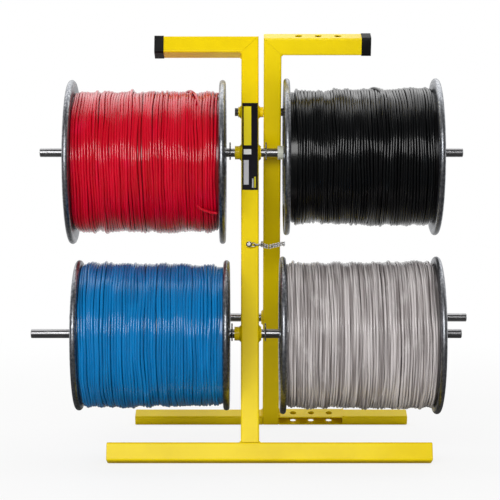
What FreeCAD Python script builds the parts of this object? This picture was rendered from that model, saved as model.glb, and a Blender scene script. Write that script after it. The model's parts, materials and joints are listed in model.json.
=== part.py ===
import FreeCAD, Part
import math
import os
import re
import Sketcher

# Folding wire-spool stand, loaded with four spools of insulated building wire.
#
# Two legs of square steel tube cross at a pivot bolt. Each leg has an arm on top and a foot below, so that
# it looks like a C from the front: the front leg's arm points left and the rear leg's arm points right.
# Steel rods pass through sleeves in the legs and carry the spools. A chain limits the spread of the legs.
#
# Frame: +X to the right, +Y to the back, +Z up, millimetres. The origin lies on the floor, in the middle
# under the whole stand. Formulas of places count X from the middle of the front leg and Y from the pivot,
# and stand_base moves them to the origin.
# Each leg is drawn upright in its own frame, with the pivot at its origin, and is then leaned about X.

Vector = FreeCAD.Vector
document = FreeCAD.newDocument("wire_spool_stand")

# Driving dimensions: name, value in millimetres or degrees, meaning.
SIZES = [
    ("tube_width", 31.75, "outside width of the square tube"),
    ("tube_wall", 2.1, "wall of the square tube"),
    ("tube_corner", 3.2, "outside corner radius of the tubes"),
    ("lean_angle", 20, "lean of each leg from upright"),
    ("leg_spacing", 40.7, "from the middle of the front leg to the middle of the rear leg"),
    ("leg_length", 643.4, "pivot to the underside of the foot, along the leg"),
    ("arm_height", 144, "pivot to the top of the arm, along the leg"),
    ("arm_reach", 176, "middle of the leg to the end of the arm cap"),
    ("mitre_gap", 0.15, "half of the hairline at each mitred corner"),
    ("cap_length", 17, "length of an arm cap"),
    ("cap_wall", 1.3, "how far an arm cap stands proud of the tube"),
    ("cap_end", 3, "thickness of an arm cap's end"),
    ("front_foot_left", 247, "front foot's reach to the left"),
    ("front_foot_right", 314, "front foot's reach to the right"),
    ("rear_foot_left", 266.2, "rear foot's reach to the left of the rear leg"),
    ("rear_foot_right", 267.8, "rear foot's reach to the right of the rear leg"),
    ("rear_foot_height", 19.05, "height of the flat tube of the rear foot"),
    ("rear_foot_wall", 1.6, "wall of the rear foot's tube"),
    ("sole_clearance", 1.3, "square edges between the feet, above the foot's underside"),
    ("plug_end", 4, "thickness of a foot plug outside the tube"),
    ("plug_depth", 14, "length of a foot plug inside the tube"),
    ("plug_wall", 1.6, "wall of a foot plug"),
    ("seat_gap", 0.3, "clearance between a piece and its seat"),
    ("weld_gap", 0.1, "radial clearance of a welded sleeve in its hole"),
    ("wire_hole_diameter", 12.7, "holes that guide the pulled wires"),
    ("arm_hole_first", 46.5, "middle of the rear leg to the arm's first wire hole"),
    ("channel_hole_first", 43.9, "middle of the rear leg to the guide channel's first wire hole"),
    ("wire_hole_pitch", 35.2, "distance between wire holes"),
    ("wire_hole_count", 3, "wire holes in a row"),
    ("channel_end", 143, "middle of the rear leg to the end of the guide channel"),
    ("channel_wall", 2.6, "wall of the guide channel"),
    ("channel_flange", 2.5, "thickness of the plate at the channel's end"),
    ("channel_flange_lip", 1.6, "how far that plate stands above the foot"),
    ("bolt_diameter", 9.525, "pivot bolt"),
    ("bolt_across_flats", 14.3, "pivot bolt's head and nut across flats"),
    ("bolt_head_height", 6, "pivot bolt's head"),
    ("nut_height", 6.2, "pivot nut"),
    ("bolt_end", 0.9, "bolt standing out of its nut"),
    ("bolt_running_gap", 0.05, "radial running clearance of the rear leg on the bolt"),
    ("pivot_sleeve_diameter", 19, "tube welded through each leg for the pivot"),
    ("pivot_sleeve_out", 5.5, "pivot sleeve standing out on the left of the front leg"),
    ("pivot_clearance", 0.4, "clearance between the legs' pivot sleeves and under the nut"),
    ("weld_bead", 3, "height and width of the weld round a sleeve"),
    ("rod_diameter", 15.88, "steel rods"),
    ("rod_chamfer", 1, "chamfer at the rod ends"),
    ("rod_sleeve_diameter", 24.5, "outside of the tubes that hold the rods"),
    ("rod_sleeve_left", 11.5, "rod sleeves of the front leg standing out on the left"),
    ("rod_sleeve_right", 4, "rod sleeves of the front leg standing out on the right"),
    ("rear_sleeve_out", 3.4, "rod sleeve of the rear leg standing out on each side"),
    ("upper_rod_drop", 78.5, "pivot to the upper rod, along the leg"),
    ("lower_rod_drop", 416, "pivot to the lower rods, along the leg"),
    ("upper_rod_left", 381, "upper rod's reach to the left"),
    ("upper_rod_right", 386, "upper rod's reach to the right"),
    ("lower_rod_left", 385, "lower rod's reach to the left"),
    ("lower_rod_right", 372, "lower rod's reach to the right"),
    ("spare_rod_left", 346.5, "spare rod's reach to the left"),
    ("spare_rod_right", 415.5, "spare rod's reach to the right"),
    ("clip_wire", 2.5, "wire of the hitch clips"),
    ("clip_hole_gap", 0.3, "radial clearance of a clip in the rod's cross hole"),
    ("clip_rise", 13, "clip's straight leg above the rod's axis"),
    ("clip_drop", 13, "clip's legs below the rod's axis"),
    ("upper_clip_left", 36, "left clip of the upper rod, from the front leg's middle"),
    ("upper_clip_right", 29, "right clip of the upper rod, from the front leg's middle"),
    ("lower_clip_left", 31.6, "left clip of the lower rod, from the front leg's middle"),
    ("lower_clip_right", 27, "right clip of the lower rod, from the front leg's middle"),
    ("bushing_diameter", 24.7, "spacer bushing beside the black spool"),
    ("bushing_length", 10.2, "length of the spacer bushing"),
    ("sticker_width", 28.4, "sticker on the front leg"),
    ("sticker_top", 11.7, "sticker's top above the pivot"),
    ("sticker_bottom", 155, "sticker's bottom below the pivot"),
    ("sticker_thickness", 0.3, "thickness of the sticker"),
    ("chain_drop", 259, "pivot to the chain's bolts, along the leg"),
    ("chain_wire", 1.9, "wire of the chain links"),
    ("chain_inner_width", 4.4, "inside width of a chain link"),
    ("chain_play", 0.5, "play between chain links"),
    ("chain_link_pitch", 12.6, "longest step from one chain link to the next"),
    ("chain_split", 0.332, "share of the free chain that hangs on the front leg"),
    ("chain_pass", 1.9, "sideways room of the two shares, so that they pass each other"),
    ("chain_standoff", 4.8, "leg's face to the middle of the chain"),
    ("chain_bolt_diameter", 4, "bolts that hold the chain"),
    ("chain_bolt_head", 10.4, "head of a chain bolt"),
    ("chain_nut_flats", 8.5, "chain bolt's nut across flats"),
    ("chain_nut_height", 4, "chain bolt's nut"),
    ("front_chain_bolt", 1.8, "front chain bolt, left of the leg's middle"),
    ("rear_chain_bolt", 6, "rear chain bolt, in front of the leg's middle"),
    ("chain_sag", 4, "sag of the chain's middle under the line between its ends"),
    ("rim_width", 11, "width of a flange's rolled rim"),
    ("flange_sheet", 1.4, "sheet of the flanges"),
    ("flange_step_diameter", 150, "pressed ring in the flange"),
    ("flange_step", 4, "depth of the pressed ring"),
    ("drum_diameter", 101.6, "drum inside each spool"),
    ("drum_wall", 1.5, "sheet of the drum"),
    ("arbor_wall", 1.6, "wall of a spool's arbor tube"),
    ("wire_diameter", 5.5, "insulated wire"),
    ("winding_turns", 24, "turns drawn in the outer layer"),
    ("wire_end_bend", 6, "bend where the outer layer's ends turn to the flanges"),
    ("red_spool_near", 44, "red spool's side next to the leg, from the front leg's middle"),
    ("red_spool_width", 283, "width of the red spool"),
    ("red_flange_diameter", 297, "outside of the red spool's steel flanges"),
    ("red_winding_diameter", 255, "outside of the red wire"),
    ("red_arbor_bore", 50.8, "bore of the red spool's arbor tube"),
    ("black_spool_near", 60.6, "black spool's side next to the leg, from the front leg's middle"),
    ("black_spool_width", 280, "width of the black spool"),
    ("black_flange_diameter", 284, "outside of the black spool's steel flanges"),
    ("black_winding_diameter", 246, "outside of the black wire"),
    ("black_arbor_bore", 32, "bore of the black spool's arbor tube"),
    ("blue_spool_near", 35.7, "blue spool's side next to the leg, from the front leg's middle"),
    ("blue_spool_width", 269.5, "width of the blue spool"),
    ("blue_flange_diameter", 264, "outside of the blue spool's steel flanges"),
    ("blue_winding_diameter", 252, "outside of the blue wire"),
    ("blue_arbor_bore", 22, "bore of the blue spool's arbor tube"),
    ("grey_spool_near", 52, "grey spool's side next to the leg, from the front leg's middle"),
    ("grey_spool_width", 281, "width of the grey spool"),
    ("grey_flange_diameter", 277, "outside of the grey spool's steel flanges"),
    ("grey_winding_diameter", 258, "outside of the grey wire"),
    ("grey_arbor_bore", 22, "bore of the grey spool's arbor tube"),
]
ALIASES = {alias for alias, size, meaning in SIZES}
WORD = re.compile(r"[a-z][a-z_]*")

# Heights and places that several pieces share, as formulas on the sizes.
FLAT_LENGTH = "(leg_length - tube_corner)"
FLAT_HALF = "(tube_width / 2 - tube_corner)"
PIVOT_HEIGHT = f"({FLAT_LENGTH} * cos(lean_angle) + {FLAT_HALF} * sin(lean_angle) + tube_corner)"
HALF_TUBE = "tube_width / 2"
FOOT_TOP = "(tube_width - leg_length)"
PIVOT_BOLT_END = "(leg_spacing + tube_width / 2 + pivot_clearance + nut_height + bolt_end)"
ORIGIN_X = "((spare_rod_right - lower_rod_left) / 2)"
LOWER_FLANGE = "max(blue_flange_diameter; grey_flange_diameter)"
FRONT_LIMIT = f"(lower_rod_drop * sin(lean_angle) + {LOWER_FLANGE} / 2)"
BACK_LIMIT = "((leg_length - sole_clearance) * sin(lean_angle) + tube_width / 2 * cos(lean_angle))"
ORIGIN_Y = f"(({BACK_LIMIT} - {FRONT_LIMIT}) / 2)"
CHAIN_LINK_LENGTH = "(chain_link_pitch + chain_play)"
CHAIN_FACE = "(tube_width / 2 + chain_standoff)"


def fill_sheet():
    """Writes the driving dimensions to the sheet, each with its alias."""
    table = document.addObject("Spreadsheet::Sheet", "Sizes")
    for row, (alias, size, meaning) in enumerate(SIZES, start=1):
        table.set(f"A{row}", meaning)
        table.set(f"B{row}", str(size))
        table.setAlias(f"B{row}", alias)
    document.recompute()
    return table


sheet = fill_sheet()
parts = []


def sheet_name(word):
    """An alias gets the sheet's name before it, and any other word stays."""
    return f"Sizes.{word.group(0)}" if word.group(0) in ALIASES else word.group(0)


def formula(text):
    """Turns a formula on the aliases into an expression on the sheet."""
    return WORD.sub(sheet_name, text)


def value(text):
    """Works out a formula as a number."""
    return float(sheet.evalExpression(formula(text)))


def bind(item, formulas):
    """Ties an object's properties to formulas."""
    for path, text in formulas.items():
        item.setExpression(path, formula(text))


def base_at(x, y, z):
    """The formulas that put an object's base at a point."""
    return {"Placement.Base.x": x, "Placement.Base.y": y, "Placement.Base.z": z}


def stand_base(x, y, z):
    """The formulas that put a sub-part's base at a point of the stand."""
    return base_at(f"{x} - {ORIGIN_X}", f"{y} - {ORIGIN_Y}", z)


def finish_part(item, label):
    """Gives a sub-part its name and lists it for writing."""
    item.Label = label
    parts.append(item)
    return item


def stand_on_front_leg(item):
    """Leans a piece that is drawn in the front leg's frame: its foot comes forward."""
    item.Placement = FreeCAD.Placement(Vector(), FreeCAD.Rotation(Vector(-1, 0, 0), value("lean_angle")))
    bind(item, stand_base("0", "0", PIVOT_HEIGHT) | {"Placement.Rotation.Angle": "lean_angle"})


def stand_on_rear_leg(item):
    """Leans a piece that is drawn in the rear leg's frame: its foot goes back."""
    item.Placement = FreeCAD.Placement(Vector(), FreeCAD.Rotation(Vector(1, 0, 0), value("lean_angle")))
    bind(item, stand_base("leg_spacing", "0", PIVOT_HEIGHT) | {"Placement.Rotation.Angle": "lean_angle"})


def front_leg_point(drop):
    """The formulas of the point on the front leg's middle line, below the pivot."""
    return f"-{drop} * sin(lean_angle)", f"{PIVOT_HEIGHT} - {drop} * cos(lean_angle)"


def rear_leg_point(drop):
    """The formulas of the point on the rear leg's middle line, below the pivot."""
    return f"{drop} * sin(lean_angle)", f"{PIVOT_HEIGHT} - {drop} * cos(lean_angle)"


# Sketching

def origin_feature(body, role):
    """One of a body's own origin planes or axes."""
    return next(feature for feature in body.Origin.OriginFeatures if feature.Role == role)


def new_sketch(body, role, x="0", y="0", z="0"):
    """A sketch on one of the body's origin planes, moved in the sketch's own directions."""
    sketch = body.newObject("Sketcher::SketchObject", "Sketch")
    sketch.AttachmentSupport = [(origin_feature(body, role), "")]
    sketch.MapMode = "FlatFace"
    bind(sketch, {"AttachmentOffset.Base.x": x, "AttachmentOffset.Base.y": y, "AttachmentOffset.Base.z": z})
    return sketch


def add_size(sketch, name, constraint, text):
    """Adds a named dimension to a sketch and ties it to a formula."""
    index = sketch.addConstraint(constraint)
    sketch.renameConstraint(index, name)
    bind(sketch, {f"Constraints.{name}": text})


def draw_polygon(sketch, name, corners):
    """Draws a closed outline whose corners are given as pairs of formulas."""
    points = [Vector(value(x), value(y), 0) for x, y in corners]
    count = len(points)
    first = sketch.GeometryCount
    for index, point in enumerate(points):
        sketch.addGeometry(Part.LineSegment(point, points[(index + 1) % count]), False)
    for index in range(count):
        line = first + index
        following = first + (index + 1) % count
        sketch.addConstraint(Sketcher.Constraint("Coincident", line, 2, following, 1))
    for index, (x, y) in enumerate(corners):
        line = first + index
        add_size(sketch, f"{name}_x_{index}",
                 Sketcher.Constraint("DistanceX", -1, 1, line, 1, points[index].x), x)
        add_size(sketch, f"{name}_y_{index}",
                 Sketcher.Constraint("DistanceY", -1, 1, line, 1, points[index].y), y)


def draw_round_rectangle(sketch, name, width, height, corner):
    """Draws a rectangle with round corners about the sketch's origin."""
    half_width = value(width) / 2
    half_height = value(height) / 2
    radius = value(corner)
    first = sketch.GeometryCount
    quarter = math.pi / 2
    for index, (side, level) in enumerate(((1, 1), (-1, 1), (-1, -1), (1, -1))):
        centre = Vector(side * (half_width - radius), level * (half_height - radius), 0)
        circle = Part.Circle(centre, Vector(0, 0, 1), radius)
        sketch.addGeometry(Part.ArcOfCircle(circle, index * quarter, (index + 1) * quarter), False)
    for index in range(4):
        start = sketch.getPoint(first + index, 2)
        end = sketch.getPoint(first + (index + 1) % 4, 1)
        sketch.addGeometry(Part.LineSegment(start, end), False)
    for index in range(4):
        side = first + 4 + index
        sketch.addConstraint(Sketcher.Constraint("Tangent", first + index, 2, side, 1))
        sketch.addConstraint(Sketcher.Constraint("Tangent", side, 2, first + (index + 1) % 4, 1))
        sketch.addConstraint(Sketcher.Constraint("Vertical" if index % 2 else "Horizontal", side))
    for index in range(1, 4):
        sketch.addConstraint(Sketcher.Constraint("Equal", first, first + index))
    add_size(sketch, f"{name}_corner", Sketcher.Constraint("Radius", first, radius), corner)
    sketch.addConstraint(Sketcher.Constraint("Symmetric", first, 3, first + 2, 3, -1, 1))
    add_size(sketch, f"{name}_width",
             Sketcher.Constraint("DistanceX", first + 5, 1, first + 7, 1, 2 * half_width), width)
    add_size(sketch, f"{name}_height",
             Sketcher.Constraint("DistanceY", first + 6, 1, first + 4, 1, 2 * half_height), height)


def draw_circle(sketch, name, radius):
    """Draws a circle about the sketch's origin."""
    index = sketch.addGeometry(Part.Circle(Vector(), Vector(0, 0, 1), value(radius)), False)
    sketch.addConstraint(Sketcher.Constraint("Coincident", index, 3, -1, 1))
    add_size(sketch, name, Sketcher.Constraint("Radius", index, value(radius)), radius)


# Features of a body

def new_body(name):
    return document.addObject("PartDesign::Body", name)


def pad(body, sketch, length):
    """Pads a sketch along its normal."""
    feature = body.newObject("PartDesign::Pad", "Pad")
    feature.Profile = sketch
    bind(feature, {"Length": length})
    return feature


def cut_through(body, sketch):
    """Cuts a sketch through the whole body, both ways, and checks that something was cut."""
    document.recompute()
    before = body.Shape.Volume
    feature = body.newObject("PartDesign::Pocket", "Pocket")
    feature.Profile = sketch
    feature.Type = "ThroughAll"
    feature.Midplane = True
    document.recompute()
    if not body.Shape.Volume < before:
        raise ValueError(f"{body.Name}: a cut removed nothing")
    return feature


def revolve(body, sketch, axis="X_Axis"):
    """Turns a sketch fully about one of the body's axes."""
    feature = body.newObject("PartDesign::Revolution", "Revolution")
    feature.Profile = sketch
    feature.ReferenceAxis = (origin_feature(body, axis), [""])
    feature.Angle = 360
    return feature


def turned_body(name, outline):
    """A body turned about X from an outline of (along X, radius) corners."""
    body = new_body(name)
    sketch = new_sketch(body, "XZ_Plane")
    draw_polygon(sketch, "outline", outline)
    revolve(body, sketch)
    return body


def ring_outline(left, right, inner, outer):
    """The outline of a plain tube turned about X."""
    return [(left, inner), (right, inner), (right, outer), (left, outer)]


def tube_sketch(body, plane, height, wall, x="0", y="0", z="0"):
    """A hollow rectangle with round corners: as deep as the square tube, and of the given height."""
    sketch = new_sketch(body, plane, x, y, z)
    draw_round_rectangle(sketch, "outside", "tube_width", height, "tube_corner")
    draw_round_rectangle(sketch, "inside", f"tube_width - 2 * {wall}", f"{height} - 2 * {wall}",
                         f"tube_corner - 0.6 * {wall}")
    return sketch


def level_tube(name, start, end, middle, height="tube_width", wall="tube_wall"):
    """A tube along X in a leg's frame, with its middle at a height on the leg."""
    body = new_body(name)
    pad(body, tube_sketch(body, "YZ_Plane", height, wall, y=middle, z=start), f"({end}) - ({start})")
    return body


def drill_across(body, radius, height):
    """A round hole along X through a leg's tube."""
    sketch = new_sketch(body, "YZ_Plane", y=height)
    draw_circle(sketch, "hole", radius)
    cut_through(body, sketch)


def drill_wire_holes(body, start):
    """The row of vertical holes that the pulled wires pass, from its first hole on."""
    sketch = new_sketch(body, "XY_Plane", x=start)
    draw_circle(sketch, "hole", "wire_hole_diameter / 2")
    first = cut_through(body, sketch)
    row = body.newObject("PartDesign::LinearPattern", "HoleRow")
    row.Originals = [first]
    row.Direction = (origin_feature(body, "X_Axis"), [""])
    bind(row, {"Occurrences": "wire_hole_count", "Length": "wire_hole_pitch * (wire_hole_count - 1)"})
    body.Tip = row


def cut_mitre(body, side, keeps_leg):
    """Cuts the end of a tube at 45 degrees, where an arm meets its leg.

    side is 1 for an arm to the right and -1 for an arm to the left. The leg keeps what lies below the cut
    and the arm keeps what lies above it.
    """
    reach = "tube_width"
    inner = (f"{side} * ({HALF_TUBE} + {reach})", f"arm_height - tube_width - {reach}")
    outer = (f"-{side} * ({HALF_TUBE} + {reach})", f"arm_height + {reach}")
    shift = "-mitre_gap * 1.414" if keeps_leg else "mitre_gap * 1.414"
    corner = (inner[0], outer[1]) if keeps_leg else (outer[0], inner[1])
    sketch = new_sketch(body, "XZ_Plane", y=shift)
    draw_polygon(sketch, "mitre", [inner, outer, corner])
    cut_through(body, sketch)


# The frame

def drill_for_chain_bolt(body, plane, across):
    """The hole of a chain bolt, through both walls of a leg."""
    sketch = new_sketch(body, plane, x=across, y="-chain_drop")
    draw_circle(sketch, "bolt_hole", "chain_bolt_diameter / 2 + weld_gap")
    cut_through(body, sketch)


def make_upright(label, side, foot_top, sleeve_drops):
    """A leg's upright tube, mitred at the top and drilled for its sleeves."""
    body = new_body(label)
    sketch = tube_sketch(body, "XY_Plane", "tube_width", "tube_wall", z=foot_top)
    pad(body, sketch, f"arm_height - ({foot_top})")
    cut_mitre(body, side, keeps_leg=True)
    drill_across(body, "pivot_sleeve_diameter / 2 + weld_gap", "0")
    for drop in sleeve_drops:
        drill_across(body, "rod_sleeve_diameter / 2 + weld_gap", f"-{drop}")
    if side < 0:
        drill_for_chain_bolt(body, "XZ_Plane", "-front_chain_bolt")
    else:
        drill_for_chain_bolt(body, "YZ_Plane", "-rear_chain_bolt")
    return finish_part(body, label)


def make_arm(label, side):
    """An arm: a tube from the mitred corner to just inside its cap."""
    if side > 0:
        start = f"-{HALF_TUBE}"
        end = "arm_reach - cap_end - seat_gap"
    else:
        start = "cap_end + seat_gap - arm_reach"
        end = HALF_TUBE
    body = level_tube(label, start, end, "arm_height - tube_width / 2")
    cut_mitre(body, side, keeps_leg=False)
    return finish_part(body, label)


def make_arm_cap(label, side):
    """A slip-on cap over the end of an arm."""
    body = new_body(label)
    middle = "arm_height - tube_width / 2"
    start = "arm_reach - cap_length" if side > 0 else "-arm_reach"
    sketch = new_sketch(body, "YZ_Plane", y=middle, z=start)
    outside = "tube_width + 2 * cap_wall"
    draw_round_rectangle(sketch, "outside", outside, outside, "tube_corner + cap_wall")
    pad(body, sketch, "cap_length")
    hollow_start = start if side > 0 else "cap_end - arm_reach"
    hollow = new_sketch(body, "YZ_Plane", y=middle, z=hollow_start)
    inside = "tube_width + 2 * weld_gap"
    draw_round_rectangle(hollow, "inside", inside, inside, "tube_corner + weld_gap")
    document.recompute()
    before = body.Shape.Volume
    pocket = body.newObject("PartDesign::Pocket", "Pocket")
    pocket.Profile = hollow
    pocket.Reversed = True
    bind(pocket, {"Length": "cap_length - cap_end"})
    document.recompute()
    if not body.Shape.Volume < before:
        raise ValueError(f"{label}: the cap stayed solid")
    return finish_part(body, label)


def make_plug(name, side, reach, middle, height, wall):
    """One foot plug: an end plate as large as the tube and a hollow stem inside it."""
    body = new_body(name)
    plate_start = f"{reach} - plug_end" if side > 0 else f"-({reach})"
    plate = new_sketch(body, "YZ_Plane", y=middle, z=plate_start)
    draw_round_rectangle(plate, "plate", "tube_width", height, "tube_corner")
    pad(body, plate, "plug_end")
    stem_start = f"{reach} - plug_end - plug_depth" if side > 0 else f"plug_end - ({reach})"
    stem = new_sketch(body, "YZ_Plane", y=middle, z=stem_start)
    clearance = f"2 * ({wall} + seat_gap)"
    draw_round_rectangle(stem, "stem", f"tube_width - {clearance}", f"{height} - {clearance}",
                         f"tube_corner - 0.6 * {wall} - seat_gap")
    hollow = f"2 * ({wall} + seat_gap + plug_wall)"
    draw_round_rectangle(stem, "hollow", f"tube_width - {hollow}", f"{height} - {hollow}", "0.5")
    pad(body, stem, "plug_depth")
    document.recompute()
    round_outer_edges(body, reach, side)
    return body


def round_outer_edges(body, reach, side):
    """Rounds the edges of a plug's outer face."""
    limit = side * value(reach)
    base = body.Tip
    names = [f"Edge{index}" for index, edge in enumerate(body.Shape.Edges, start=1)
             if all(abs(vertex.X - limit) < 1e-6 for vertex in edge.Vertexes)]
    fillet = body.newObject("PartDesign::Fillet", "Rounding")
    fillet.Base = (base, names)
    bind(fillet, {"Radius": "plug_end / 2"})
    return fillet


def make_pair(label, first, second):
    """Two identical pieces as one sub-part."""
    pair = document.addObject("Part::Compound", label)
    pair.Links = [first, second]
    return finish_part(pair, label)


def make_sleeve(label, left, right, outer, bore, height, half="tube_width / 2"):
    """A tube through a leg along X, with a weld bead where it leaves the leg's faces.

    left and right say how far it stands out of the faces. A side that stands out less than a bead has none.
    """
    inner_radius = f"{bore} / 2"
    outer_radius = f"{outer} / 2"
    crown = f"{outer} / 2 + weld_bead"
    outline = [(f"-{half} - ({left})", inner_radius), (f"{half} + {right}", inner_radius),
               (f"{half} + {right}", outer_radius)]
    if value(right) > value("weld_bead"):
        outline += [(f"{half} + weld_bead", outer_radius), (half, crown), (half, outer_radius)]
    if value(left) > value("weld_bead"):
        outline += [(f"-{half}", outer_radius), (f"-{half}", crown), (f"-{half} - weld_bead", outer_radius)]
    outline += [(f"-{half} - ({left})", outer_radius)]
    body = new_body(label)
    sketch = new_sketch(body, "XZ_Plane", y=height)
    draw_polygon(sketch, "outline", outline)
    feature = body.newObject("PartDesign::Revolution", "Revolution")
    feature.Profile = sketch
    feature.ReferenceAxis = (sketch, ["H_Axis"])
    feature.Angle = 360
    return finish_part(body, label)


def make_front_leg():
    """The leg whose foot stands in front. Its arm points left."""
    rod_bore = "(rod_diameter + 2 * seat_gap)"
    upright = make_upright("front_upright", -1, FOOT_TOP, ("upper_rod_drop", "lower_rod_drop"))
    arm = make_arm("left_arm", -1)
    cap = make_arm_cap("left_arm_cap", -1)
    foot_middle = "tube_width / 2 - leg_length"
    foot = finish_part(level_tube("front_foot", "plug_end - front_foot_left", "front_foot_right - plug_end",
                                  foot_middle), "front_foot")
    section = {"middle": foot_middle, "height": "tube_width", "wall": "tube_wall"}
    plugs = make_pair("front_foot_plugs", make_plug("FrontLeftPlug", -1, "front_foot_left", **section),
                      make_plug("FrontRightPlug", 1, "front_foot_right", **section))
    pieces = [upright, arm, cap, foot, plugs]
    for label, drop in (("upper_rod_sleeve", "upper_rod_drop"), ("lower_rod_sleeve", "lower_rod_drop")):
        pieces.append(make_sleeve(label, "rod_sleeve_left", "rod_sleeve_right", "rod_sleeve_diameter",
                                  rod_bore, f"-{drop}"))
    pieces.append(make_sleeve("front_pivot_sleeve", "pivot_sleeve_out",
                              "leg_spacing - tube_width - pivot_clearance", "pivot_sleeve_diameter",
                              "(bolt_diameter + 2 * seat_gap)", "0"))
    return pieces


def make_guide_channel():
    """The open channel on the rear foot, with its wire holes and the plate at its end."""
    body = new_body("guide_channel")
    sketch = new_sketch(body, "YZ_Plane", y="-leg_length", z=HALF_TUBE)
    back = HALF_TUBE
    front = f"-{HALF_TUBE}"
    top = "rear_foot_height"
    bottom = "sole_clearance"
    draw_polygon(sketch, "section", [
        (front, bottom), (back, bottom), (back, top), (front, top),
        (front, f"{top} - channel_wall"), (f"{back} - channel_wall", f"{top} - channel_wall"),
        (f"{back} - channel_wall", f"{bottom} + channel_wall"), (front, f"{bottom} + channel_wall")])
    pad(body, sketch, f"channel_end - {HALF_TUBE}")
    plate = new_sketch(body, "YZ_Plane", y="-leg_length", z="channel_end - channel_flange")
    high = "rear_foot_height + channel_flange_lip"
    draw_polygon(plate, "plate", [(front, bottom), (back, bottom), (back, high), (front, high)])
    pad(body, plate, "channel_flange")
    drill_wire_holes(body, "channel_hole_first")
    return finish_part(body, "guide_channel")


def make_rear_leg():
    """The leg whose foot stands behind. Its arm points right and has the wire holes."""
    section = {"middle": "rear_foot_height / 2 - leg_length", "height": "rear_foot_height",
               "wall": "rear_foot_wall"}
    upright = make_upright("rear_upright", 1, "sole_clearance - leg_length", ("lower_rod_drop",))
    arm = make_arm("right_arm", 1)
    drill_wire_holes(arm, "arm_hole_first")
    cap = make_arm_cap("right_arm_cap", 1)
    left = level_tube("rear_foot_left", "plug_end - rear_foot_left", f"-{HALF_TUBE}", **section)
    finish_part(left, "rear_foot_left")
    right = level_tube("rear_foot_right", "channel_end", "rear_foot_right - plug_end", **section)
    finish_part(right, "rear_foot_right")
    plugs = make_pair("rear_foot_plugs", make_plug("RearLeftPlug", -1, "rear_foot_left", **section),
                      make_plug("RearRightPlug", 1, "rear_foot_right", **section))
    sleeve = make_sleeve("rear_rod_sleeve", "rear_sleeve_out", "rear_sleeve_out", "rod_sleeve_diameter",
                         "(rod_diameter + 2 * seat_gap)", "-lower_rod_drop")
    pivot = make_sleeve("rear_pivot_sleeve", "0", "0", "pivot_sleeve_diameter",
                        "(bolt_diameter + 2 * bolt_running_gap)", "0")
    return [upright, arm, cap, make_guide_channel(), left, right, plugs, sleeve, pivot]


# Bolts, rods and small pieces

def draw_hexagon(sketch, flats):
    """A hexagon about the sketch's origin."""
    radius = f"{flats} / sqrt(3)"
    corners = [(f"{radius} * cos({60 * step})", f"{radius} * sin({60 * step})") for step in range(6)]
    draw_polygon(sketch, "hexagon", corners)


def make_hexagon(body, start, length):
    """A hexagonal head or nut along X."""
    sketch = new_sketch(body, "YZ_Plane", z=start)
    draw_hexagon(sketch, "bolt_across_flats")
    pad(body, sketch, length)


def make_pivot_bolt():
    """The pivot bolt, with its head on the left."""
    body = new_body("pivot_bolt")
    head_right = f"-{HALF_TUBE} - pivot_sleeve_out - seat_gap"
    sketch = new_sketch(body, "YZ_Plane", z=head_right)
    draw_circle(sketch, "shank", "bolt_diameter / 2")
    pad(body, sketch, f"{PIVOT_BOLT_END} - ({head_right})")
    make_hexagon(body, f"{head_right} - bolt_head_height", "bolt_head_height")
    bind(body, stand_base("0", "0", PIVOT_HEIGHT))
    return finish_part(body, "pivot_bolt")


def make_pivot_nut():
    """The lock nut on the right end of the pivot bolt."""
    body = new_body("pivot_nut")
    make_hexagon(body, f"leg_spacing + {HALF_TUBE} + pivot_clearance", "nut_height")
    drill_across(body, "bolt_diameter / 2 + bolt_running_gap", "0")
    bind(body, stand_base("0", "0", PIVOT_HEIGHT))
    return finish_part(body, "pivot_nut")


def make_rod(label, left, right, place, holes=()):
    """A steel rod along X with chamfered ends and cross holes for its clips."""
    radius = "rod_diameter / 2"
    narrow = f"{radius} - rod_chamfer"
    body = turned_body(label, [
        (f"-({left})", "0"), (right, "0"), (right, narrow), (f"{right} - rod_chamfer", radius),
        (f"rod_chamfer - ({left})", radius), (f"-({left})", narrow)])
    for x in holes:
        sketch = new_sketch(body, "XY_Plane", x=x)
        draw_circle(sketch, "clip_hole", "clip_wire / 2 + clip_hole_gap")
        cut_through(body, sketch)
    y, z = place
    bind(body, stand_base("0", y, z))
    return finish_part(body, label)


def clip_shape():
    """A hitch clip in the YZ plane: a straight leg through the rod, and a leg in front of it."""
    reach = value("rod_diameter / 2 + clip_wire / 2 + seat_gap")
    bend = reach / 2
    rise = value("clip_rise")
    drop = value("clip_drop")
    lead = value("clip_wire")
    top = Vector(0, -bend, rise + bend)
    path = Part.Wire([
        Part.LineSegment(Vector(0, 0, -drop), Vector(0, 0, rise)).toShape(),
        Part.Arc(Vector(0, 0, rise), top, Vector(0, -reach, rise)).toShape(),
        Part.LineSegment(Vector(0, -reach, rise), Vector(0, -reach, lead - drop)).toShape()])
    section = Part.Wire(Part.makeCircle(value("clip_wire / 2"), Vector(0, 0, -drop), Vector(0, 0, 1)))
    return sweep(path, section)


def sweep(path, section):
    """A solid pipe shell of a section along a path."""
    pipe = Part.BRepOffsetAPI.MakePipeShell(path)
    pipe.add(section)
    pipe.build()
    pipe.makeSolid()
    return pipe.shape()


def make_clips(label, drop, left, right):
    """The two hitch clips of a rod, one on each side of the leg."""
    shape = clip_shape()
    solids = []
    for x in (-value(left), value(right)):
        solid = shape.copy()
        solid.translate(Vector(x, 0, 0))
        solids.append(solid)
    clips = document.addObject("Part::Feature", label)
    clips.Shape = Part.makeCompound(solids)
    y, z = front_leg_point(drop)
    bind(clips, stand_base("0", y, z))
    return finish_part(clips, label)


def make_bushing():
    """The spacer bushing on the upper rod, between its clip and the black spool."""
    right = "black_spool_near - seat_gap"
    body = turned_body("rod_bushing", ring_outline(f"{right} - bushing_length", right,
                                                   "rod_diameter / 2 + seat_gap", "bushing_diameter / 2"))
    y, z = front_leg_point("upper_rod_drop")
    bind(body, stand_base("0", y, z))
    return finish_part(body, "rod_bushing")


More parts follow.
